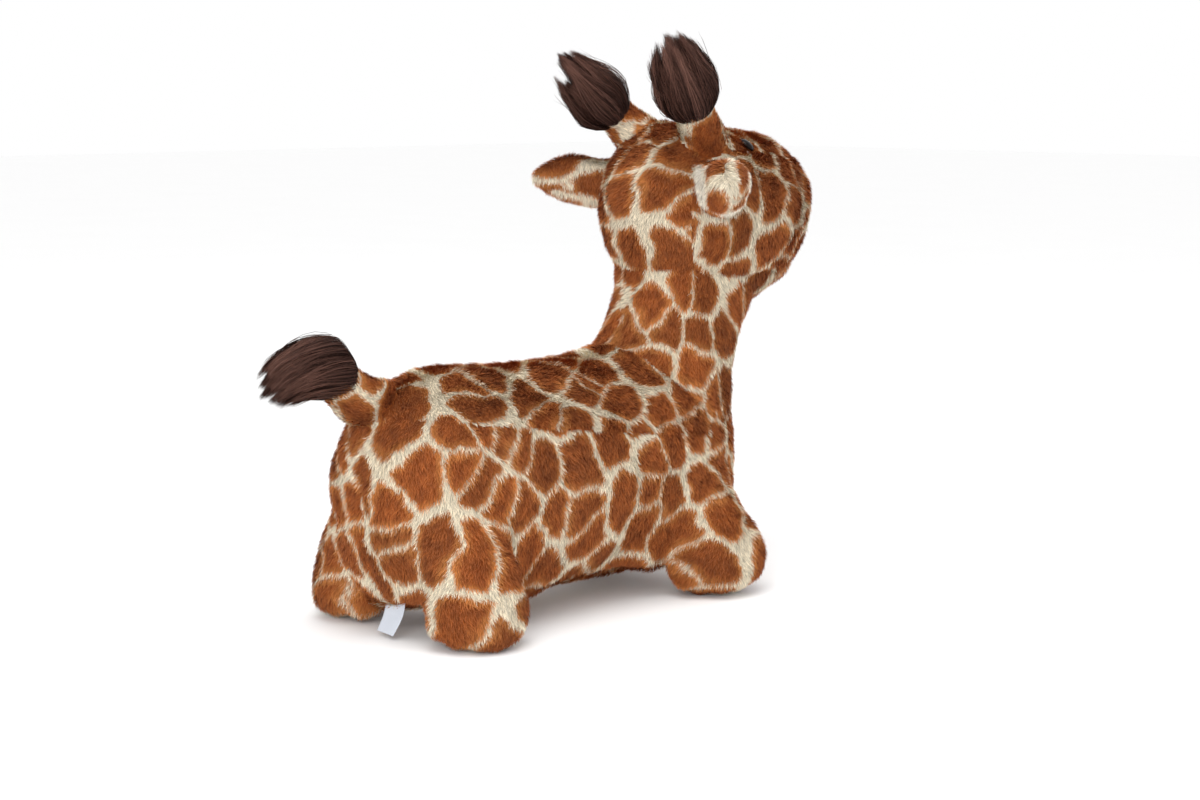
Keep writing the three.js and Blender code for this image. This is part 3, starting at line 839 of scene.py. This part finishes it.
# The eyes: black domes of polished plastic. Each has a shank that goes through the cover, held
# by a washer behind it.
eye_radius = 0.0100
eye_bulge = 0.0055
eye_rim = 0.0016
eye_rim_share = 0.94
eye_sink = 0.0070
eye_rings = 14
eye_sides = 40
eye_spots = []
eye_paint = Paint("eye_plastic", Roughness=0.08, Specular_IOR_Level=0.14)
eye_paint.tone((0.003, 0.002, 0.002), (0.010, 0.006, 0.005), 90)
for side, facing in eye_facing.items():
    seat = middle_of(f"eye_washer_{side}")
    front = ((node_points(f"eye_{side}") - seat) @ facing).max() - eye_sink
    upward = unit(np.cross(facing, np.cross((0, 0, 1), facing)))
    sideways = np.cross(facing, upward)
    turns = np.linspace(0, 2 * math.pi, eye_sides, endpoint=False)[:, None]
    circle = upward * np.cos(turns) + sideways * np.sin(turns)
    rows = [(seat + facing * front)[None]]
    for angle in np.linspace(0, math.pi / 2, eye_rings + 1)[1:]:
        level = seat + facing * (front - eye_bulge * (1 - math.cos(angle)))
        rows.append(level + circle * eye_radius * math.sin(angle))
    rows.append(seat + facing * (front - eye_bulge - eye_rim) + circle * eye_radius * eye_rim_share)
    corners = []
    for step in range(eye_sides):
        corners += [0, 1 + step, 1 + (step + 1) % eye_sides]
    corners += [1 + corner for corner in reversed(grid_corners(eye_rings + 1, eye_sides, closed=True))]
    corners += [1 + eye_rings * eye_sides + step for step in reversed(range(eye_sides))]
    counts = [3] * eye_sides + [4] * (eye_rings * eye_sides) + [eye_sides]
    mesh = mesh_from(f"eye_dome_{side}", np.concatenate(rows), corners, np.array(counts))
    eye = add_piece(f"eye_dome_{side}", mesh, eye_paint)
    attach(eye, "body")
    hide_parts(f"eye_{side}")
    eye_spots.append(seat + facing * (front - eye_bulge))


# The pile: short fibres woven into the backing, brushed down the body. Each blade stands for a
# few fibres and takes the print's colour at its root. It is painted darker at the root, and less
# so up to the tip, as painted shade down among the fibres, and more so on the print's ink.
pile_density = 680000
pile_length = 0.0075
blade_width = 0.00058
lock_size = 0.0050
print_blur = 0.0009
pile_tip = (0.90, 0.62, 0.36)
pile_tip_share = 0.10
painted_root_light = 0.72
painted_ink_shade = 0.24
lock_numbers = np.array([12.9898, 78.233, 37.719])
lock_spread = 43758.5453
lock_wander = 0.6
eye_cover = 0.95
pile_paint = Paint("plush_pile", Roughness=0.8, Specular_IOR_Level=0.15)
colour, ink = printed(pile_paint)
along = pile_paint.reading("along")
shade = pile_paint.reading("shade")
# Painted shade: each blade is darker at its root, more so on the print's ink, and fades to its own colour at the
# tip.
painted_root_shade = painted_root_light - ink * painted_ink_shade
light = (painted_root_shade + (1 - painted_root_shade) * along) * shade
tip_light = along * along * ink * pile_tip_share
tipped = pile_paint.blend(tip_light, pile_paint.scaled(colour, light), pile_tip)
pile_paint.feed("Base Color", tipped)
chance = np.random.default_rng(5)


def lock_turn(spots, seed):
    """The same chance value from -1 to 1 for all fibres of one small lock."""
    drift = swell(spots, [0.02, 0.014, 0.017], seed)[:, None] * lock_wander
    wave = np.sin(np.floor(spots / lock_size + drift) @ lock_numbers + seed) * lock_spread
    return (wave - np.floor(wave)) * 2 - 1


def roots_on(own, density):
    """Spots scattered evenly over some of the skin, with their normals, nearness to a seam and
    nearness to an ear's root."""
    quads = faces[own]
    triangles = np.concatenate([quads[:, [0, 1, 2]], quads[:, [0, 2, 3]]], 1).reshape(-1, 3)
    a, b, c = (points[triangles[:, corner]] for corner in range(3))
    area = np.linalg.norm(np.cross(b - a, c - a), axis=1) / 2
    count = int(area.sum() * density)
    picks = (np.arange(count) + chance.uniform(size=count)) / count * area.sum()
    chosen = np.minimum(np.searchsorted(np.cumsum(area), picks), len(area) - 1)
    s, t = chance.uniform(size=(2, count, 1))
    flip = s + t > 1
    s, t = np.where(flip, 1 - s, s), np.where(flip, 1 - t, t)
    first, second, third = triangles[chosen].T

    def between(values):
        return values[first] * (1 - s - t) + values[second] * s + values[third] * t
    spots = between(points)
    clear = ~in_opening(spots)
    for eye_spot in eye_spots:
        clear &= np.linalg.norm(spots - eye_spot, axis=1) > eye_radius * eye_cover
    return spots[clear], unit(between(normals))[clear], between(seam)[clear, 0], between(bare_and_painted_light)[clear, 0]


blade_taper = 0.4
blade_lowest = 0.0003


def blades(name, spines, sides, widths, leans):
    """Flat blades. spines is blade by step by 3, from root to tip, and each tip is a point."""
    count, steps = spines.shape[:2]
    half = sides * widths[:, None] / 2
    rows = []
    for step in range(steps - 1):
        narrowing = 1 - blade_taper * step / (steps - 1)
        rows += [spines[:, step] - half * narrowing, spines[:, step] + half * narrowing]
    rows.append(spines[:, -1])
    per_blade = len(rows)
    blade_points = np.stack(rows, 1).reshape(-1, 3)
    blade_points[:, 2] = np.maximum(blade_points[:, 2], blade_lowest)
    pattern, counts = [], []
    for step in range(steps - 2):
        pattern += [2 * step, 2 * step + 1, 2 * step + 3, 2 * step + 2]
        counts.append(4)
    pattern += [per_blade - 3, per_blade - 2, per_blade - 1]
    counts.append(3)
    corners = (np.arange(count)[:, None] * per_blade + np.array(pattern)).ravel()
    mesh = mesh_from(name, blade_points, corners, np.tile(counts, count))
    levels = np.repeat(np.arange(steps) / (steps - 1), 2)[:-1]
    write(mesh, "along", "FLOAT", "POINT", np.tile(levels, count))
    mesh.normals_split_custom_set_from_vertices(np.repeat(leans, per_blade, 0))

    # Each blade has a cell of its own, with a margin, in the OFBake map.
    columns = math.ceil(math.sqrt(count))
    cells = np.arange(count)
    cell_low = np.stack([cells % columns, cells // columns], 1) / columns
    sheet = np.stack([np.tile([0.2, 0.8], steps)[:-1], 0.1 + 0.8 * levels], 1)
    sheet[-1, 0] = 0.5
    spread = cell_low[:, None] + sheet[None, np.array(pattern)] / columns
    mesh.uv_layers.new(name="OFBake").uv.foreach_set("vector", spread.astype(np.float32).ravel())
    return mesh, per_blade


comb_wander = 0.34
comb_by_lock = 0.10
comb_stray = 0.30
lift_wander = 0.12
lift_by_lock = 0.07
lift_stray = 0.20
lift_range = (0.12, 1.4)
tip_lift = 0.6
length_range = (0.75, 1.15)
shorter_at_seams = 0.25
blade_roll = 0.5
lean_out = 0.65
lean_facing = 0.35
width_range = (0.7, 1.3)
shade_stray = 0.17
shade_by_lock = 0.08
shade_range = (0.5, 1.4)


def grow_pile(panel):
    own = (face_panels == panel.number) & skin_faces
    roots, out, near_seam, near_ear = roots_on(own, pile_density * panel.density)
    count = len(roots)
    flow = panel.flow(roots)
    flow = unit(flow - out * (flow * out).sum(1, keepdims=True))
    across = np.cross(out, flow)
    turn = comb_wander * swell(roots, [0.11, 0.08, 0.05], 1) + comb_by_lock * lock_turn(roots, 2)
    turn += chance.normal(0, comb_stray, count)
    comb = flow * np.cos(turn)[:, None] + across * np.sin(turn)[:, None]
    lift = panel.upright + lift_wander * swell(roots, [0.07, 0.05, 0.03], 3)
    lift += lift_by_lock * lock_turn(roots, 4)
    lift = np.clip(lift + chance.normal(0, lift_stray, count), *lift_range)
    start = comb * np.cos(lift)[:, None] + out * np.sin(lift)[:, None]
    end = comb * np.cos(lift * tip_lift)[:, None] + out * np.sin(lift * tip_lift)[:, None]
    length = pile_length * panel.length * chance.uniform(*length_range, count)
    length = length * (1 - shorter_at_seams * near_seam)
    middle = roots + start * (length * 0.5)[:, None]
    tip = middle + end * (length * 0.5)[:, None]
    roll = chance.normal(0, blade_roll, count)[:, None]
    side = unit(np.cross(start, out))
    side = side * np.cos(roll) + np.cross(start, side) * np.sin(roll)
    facing = np.cross(side, start)
    facing *= np.sign((facing * out).sum(1, keepdims=True))
    leans = unit(out * lean_out + facing * lean_facing)
    widths = blade_width * chance.uniform(*width_range, count)
    spines = np.stack([roots, middle, tip], 1)
    mesh, per_blade = blades(f"pile_{panel.name}", spines, side, widths, leans)
    shades = chance.normal(1.0, shade_stray, count) * (1 + shade_by_lock * lock_turn(roots, 6))
    shades = np.clip(shades, *shade_range)
    write(mesh, "shade", "FLOAT", "POINT", np.repeat(shades, per_blade))
    write(mesh, "bare_and_painted_light", "FLOAT", "POINT", np.repeat(near_ear, per_blade))
    places = np.zeros((count, 3))
    places[:, :2] = panel.on_roll(roots + chance.normal(0, print_blur, (count, 3)))
    write(mesh, "roll", "FLOAT_VECTOR", "POINT", np.repeat(places, per_blade, 0))
    piece = add_piece(f"pile_{panel.name}", mesh, pile_paint)
    hang_on(piece, panel.node)


for panel in Panel.made:
    grow_pile(panel)


# The tufts on horns and tail: long dark hair, gathered in the end of each stuffed stub. It
# bellies out, draws together again and ends in ragged locks.
strands_a_lock = 100
strand_steps = 8
strand_width = 0.00064
lock_reach = 0.92
lock_longest = 1.08
outer_loss = 0.30
chance_loss = 0.10
notch_side = -0.4
notch_half = 0.25
strand_scatter = 0.19
strand_loss = 0.07
root_level = 0.02
root_rise = 0.10
gather_share = 0.92
gather_power = 1.6
wave_turn = 1.3
lock_wave = 0.06
strand_wave = 0.05
least_stray = 0.05
stray_reach = 0.12
stray_share = 0.03
stray_power = 2.5
heart_level = 0.4
strand_roll = 0.9
strand_roll_most = 1.4
strand_lean = 0.4
strand_widths = (0.6, 1.2)
lock_shade_middle = 0.45
lock_shade_spread = 0.13
strand_shade_spread = 0.20
core_share = 0.62
core_levels = (0.03, 0.78)
core_least = 0.05
core_sides = 24
core_rings = 9
# The dark end is the hair's darker tone and painted shade at the roots and on the core; the light end is its paler
# tone and painted light at the tips.
tuft_dark_and_painted_shade = (0.013, 0.0030, 0.0015)
tuft_pale_and_painted_light = (0.178, 0.084, 0.062)
tuft_paint = Paint("long_pile", Roughness=0.6, Specular_IOR_Level=0.12)
along = tuft_paint.reading("along")
shade = tuft_paint.reading("shade")
# Each strand is painted darker at its root and lighter towards its tip: painted shade deep in the bundle and
# painted light where light shines through the tips. The lock and strand shades are the hair's own tone.
tone_and_painted_light = tuft_paint.rising(along * 0.4 + shade * 0.7, 0.15, 1.1)
tuft_paint.feed("Base Color", tuft_paint.blend(tone_and_painted_light, tuft_dark_and_painted_shade, tuft_pale_and_painted_light))


def grow_tuft(name, node, body, path, widths, locks, seed, apart=(0, 0, 1), notch=0.0, drop=0.0):
    """A bundle of locks round a curved path. widths gives its half width at levels along it.

    A notch parts its end in two wisps that lie apart in the direction given, and the hinder one
    ends lower by the drop.
    """
    start, bend, end = [np.array(spot) for spot in path]
    axis = unit(end - start)
    one = unit(np.cross(axis, (0.0, 1.0, 0.3)))
    two = np.cross(axis, one)
    levels, halves = np.array(widths).T
    dice = np.random.default_rng(seed)

    def spot(level, lateral):
        t = level[..., None]
        run = start * (1 - t) ** 2 + bend * 2 * t * (1 - t) + end * t ** 2
        side = lateral * np.interp(level, levels, halves)[..., None]
        return run + side[..., :1] * one + side[..., 1:] * two

    spin = dice.uniform(0, 2 * math.pi, locks)
    outness = dice.uniform(0, 1, locks) ** 0.5 * lock_reach
    lock_side = np.stack([np.cos(spin), np.sin(spin)], 1) * outness[:, None]
    lock_end = lock_longest - outer_loss * outness * dice.uniform(0, 1, locks)
    lock_end -= chance_loss * dice.uniform(0, 1, locks)
    sideways = lock_side @ unit(np.array([one, two]) @ np.array(apart))
    parting = np.exp(-((sideways - notch_side) / notch_half) ** 2)
    lock_end *= 1 - notch * parting - drop * np.clip(-sideways, 0, 1)
    lock_shade = dice.normal(lock_shade_middle, lock_shade_spread, locks)
    owner = np.repeat(np.arange(locks), strands_a_lock)
    count = len(owner)
    own_side = lock_side[owner] + dice.normal(0, strand_scatter, (count, 2))
    own_side /= np.maximum(np.linalg.norm(own_side, axis=1, keepdims=True), 1)
    last = lock_end[owner] * (1 - np.abs(dice.normal(0, strand_loss, count)))
    first = root_level + root_rise * (1 - np.linalg.norm(own_side, axis=1))
    share = np.linspace(0, 1, strand_steps)
    level = first[:, None] + (last - first)[:, None] * share
    gather = gather_share * share[None, :, None] ** gather_power
    bow = np.sin(share * math.pi * wave_turn)[None, :, None]
    wave = dice.normal(0, lock_wave, (locks, 1, 2))[owner] * bow
    wave += dice.normal(0, strand_wave, (count, 1, 2)) * bow
    stray = least_stray + stray_reach * (dice.uniform(size=(count, 1, 1)) < stray_share)
    wave += dice.normal(0, 1, (count, 1, 2)) * stray * share[None, :, None] ** stray_power
    lateral = own_side[:, None] * (1 - gather) + lock_side[owner][:, None] * gather + wave
    spines = spot(level, lateral)
    heart = spot(np.full(count, heart_level), np.zeros((count, 2)))
    outward = unit(spines[:, strand_steps // 2] - heart)
    side = unit(np.cross(spines[:, -1] - spines[:, 0], outward))
    roll = np.clip(dice.normal(0, strand_roll, count), -strand_roll_most, strand_roll_most)[:, None]
    side = side * np.cos(roll) + outward * np.sin(roll)
    leans = unit(outward + dice.normal(0, strand_lean, (count, 3)))
    widths_here = strand_width * dice.uniform(*strand_widths, count)
    mesh, per_strand = blades(name, spines, side, widths_here, leans)
    shades = np.clip(lock_shade[owner] + dice.normal(0, strand_shade_spread, count), 0, 1)
    write(mesh, "shade", "FLOAT", "POINT", np.repeat(shades, per_strand))
    piece = add_piece(name, mesh, tuft_paint)
    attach(piece, body)
    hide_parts(node)

    # A dark core fills the bundle, so that no light shows through it. Its dark is painted shade, for
    # the shade deep inside the hair.
    turns = np.linspace(0, 2 * math.pi, core_sides, endpoint=False)
    circle = np.stack([np.cos(turns), np.sin(turns)], 1) * core_share
    heights = np.linspace(*core_levels, core_rings)
    taper = np.sqrt(1 - np.linspace(0, 1, core_rings) ** 3)[:, None, None]
    rows = spot(np.repeat(heights[:, None], core_sides, 1), circle[None] * np.maximum(taper, core_least))
    corners = grid_corners(core_rings, core_sides, closed=True) + list(reversed(range(core_sides)))
    corners += list(range((core_rings - 1) * core_sides, core_rings * core_sides))
    counts = np.array([4] * ((core_rings - 1) * core_sides) + [core_sides] * 2)
    shade_core = mesh_from(f"{name}_core", rows.reshape(-1, 3), corners, counts)
    shade_core = add_piece(f"{name}_core", shade_core, tuft_paint)
    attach(shade_core, body)


horn_hair_start = 0.033
horn_locks = 64
horn_bend = 0.2
horn_widths = [
    (0, 0.018), (0.12, 0.027), (0.3, 0.035), (0.5, 0.035), (0.7, 0.030), (0.88, 0.023), (1.08, 0.014)]
horn_hair = {
    "left": {
        "length": 0.094, "lean": (-0.0055, 0.0045, -0.005), "sweep": (-0.007, 0.001, 0.002), "seed": 21,
        "apart": (0.46, -0.46, 0.75), "notch": 0.22, "drop": 0.14},
    "right": {
        "length": 0.107, "lean": (-0.0015, -0.0005, 0.002), "sweep": (-0.005, -0.001, 0.010), "seed": 27,
        "apart": (0.71, -0.70, 0), "notch": 0.20, "drop": 0.08},
}
for side, hair in horn_hair.items():
    body, root, axis = limbs[f"horn_{side}"]
    start = root + axis * horn_hair_start + np.array(hair["lean"])
    sweep = np.array(hair["sweep"])
    end = start + axis * hair["length"] + sweep
    bend = start + axis * hair["length"] * 0.5 + sweep * horn_bend
    grow_tuft(
        f"horn_hair_{side}", f"horn_tuft_{side}", body, (start, bend, end), horn_widths, horn_locks,
        hair["seed"], hair["apart"], hair["notch"], hair["drop"])

tail_hair_start = np.array([0.014, 0, 0.005])
tail_hair_reach = 0.085
tail_hair_rise = 0.018
tail_hair_fall = 0.012
tail_locks = 70
tail_widths = [
    (0, 0.015), (0.07, 0.027), (0.16, 0.032), (0.3, 0.032), (0.6, 0.030), (0.85, 0.026), (1.08, 0.020)]
root = hinge("tail_tuft_swing")
bend = root + np.array([-tail_hair_reach / 2, 0, tail_hair_rise])
end = root + np.array([-tail_hair_reach, 0, -tail_hair_fall])
tail_path = (root + tail_hair_start, bend, end)
grow_tuft("tail_hair", "tail_tuft", "tail_tuft", tail_path, tail_widths, tail_locks, seed=33)


# The care label: a blank ribbon of white satin, its upper edge caught in the seam between the
# rear feet. It hangs a little askew and curls at its free end.
label_width = 0.030
label_drop = 0.034
label_lean = 0.30
label_skew = 0.10
label_shift = -0.010
label_sag = 0.004
label_curl = 0.0025
label_curl_turn = 1.2
label_twist = 1.6
label_thickness = 0.0004
label_columns, label_rows = 24, 28
label_paint = Paint("satin_ribbon", Roughness=0.45, Sheen_Weight=0.2)
# Painted shade: the white satin is coloured a darker blue-grey, for the shade it hangs in under the body.
label_paint.tone((0.54, 0.58, 0.65), (0.62, 0.66, 0.73), 60)
label_paint.emboss(label_paint.ribbing("Z", 700.0, 0.6), 0.00008)
label_top = hinge("care_label_flap")
across_label, down_label = np.meshgrid(
    np.linspace(-0.5, 0.5, label_columns), np.linspace(0, 1, label_rows))
curl = np.sin(down_label * math.pi * label_curl_turn) + label_twist * down_label ** 2 * across_label
label_spots = np.stack([
    label_top[0] - down_label * label_drop * math.sin(label_lean) + label_curl * curl,
    label_top[1] + label_shift + across_label * label_width + down_label * label_drop * label_skew,
    label_top[2] - label_sag - down_label * label_drop * math.cos(label_lean)], -1).reshape(-1, 3)
corners = grid_corners(label_rows, label_columns)
label_mesh = mesh_from("ribbon_label", label_spots, corners, np.full(len(corners) // 4, 4))
label = add_piece("ribbon_label", label_mesh, label_paint)
thickness = label.modifiers.new("thickness", "SOLIDIFY")
thickness.thickness = label_thickness
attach(label, "care_label")
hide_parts("care_label")


def dress(paint, *nodes):
    """Gives nodes that the frame supplies a better material."""
    for node in nodes:
        for slot in frame["nodes"][node].material_slots:
            slot.link = "OBJECT"
            slot.material = paint.material


# The zip in the belly: two woven tapes with moulded teeth, a slider with a swinging pull and
# two clamped stops of antiqued metal. The bladder goes in and out through it.
tape_paint = Paint("zip_tape", Roughness=0.85, Sheen_Weight=0.15)
tape_paint.tone((0.40, 0.23, 0.10), (0.58, 0.38, 0.20), 120, 3)
tape_paint.emboss(tape_paint.ribbing("DIAGONAL", 900.0, 1.0), 0.0001)
dress(tape_paint, "zip_half_left", "zip_half_right")

metal_paint = Paint("antiqued_metal", Metallic=1.0)
metal_wear = metal_paint.tone((0.16, 0.13, 0.10), (0.46, 0.41, 0.34), 420, 4)
metal_paint.feed("Roughness", 0.30 + metal_wear * 0.25)
metal_paint.emboss(metal_wear, 0.00004)
dress(metal_paint, "zip_stop_rear", "zip_stop_front", "zip_slider", "zip_pull")


# The bladder inside, welded from soft vinyl, with its valve seat and push-in plug. The eyes'
# washers are of the plug's white plastic. Loose polyester fibre fills the head.
vinyl_paint = Paint("soft_vinyl", IOR=1.52, Coat_Weight=0.1)
vinyl_haze = vinyl_paint.tone((0.60, 0.56, 0.47), (0.72, 0.69, 0.61), 14, 4)
vinyl_paint.feed("Roughness", 0.34 + vinyl_haze * 0.18)
vinyl_paint.emboss(vinyl_paint.noise(vinyl_paint.place(), 260, 3), 0.0002)
dress(vinyl_paint, "bladder", "valve_seat")

plastic_paint = Paint("white_plastic", IOR=1.5)
plastic_tone = plastic_paint.tone((0.82, 0.82, 0.80), (0.90, 0.90, 0.88), 70, 3)
plastic_paint.feed("Roughness", 0.36 + plastic_tone * 0.12)
plastic_paint.emboss(plastic_paint.noise(plastic_paint.place(), 900, 2), 0.00003)
dress(plastic_paint, "valve_plug", "eye_washer_left", "eye_washer_right")

fibre_paint = Paint("polyester_fibre", Roughness=0.9, Sheen_Weight=0.3)
fibre_tangle = fibre_paint.tone((0.76, 0.74, 0.68), (0.93, 0.92, 0.88), 160, 8)
fibre_paint.emboss(fibre_tangle, 0.003)
dress(fibre_paint, "head_filling")
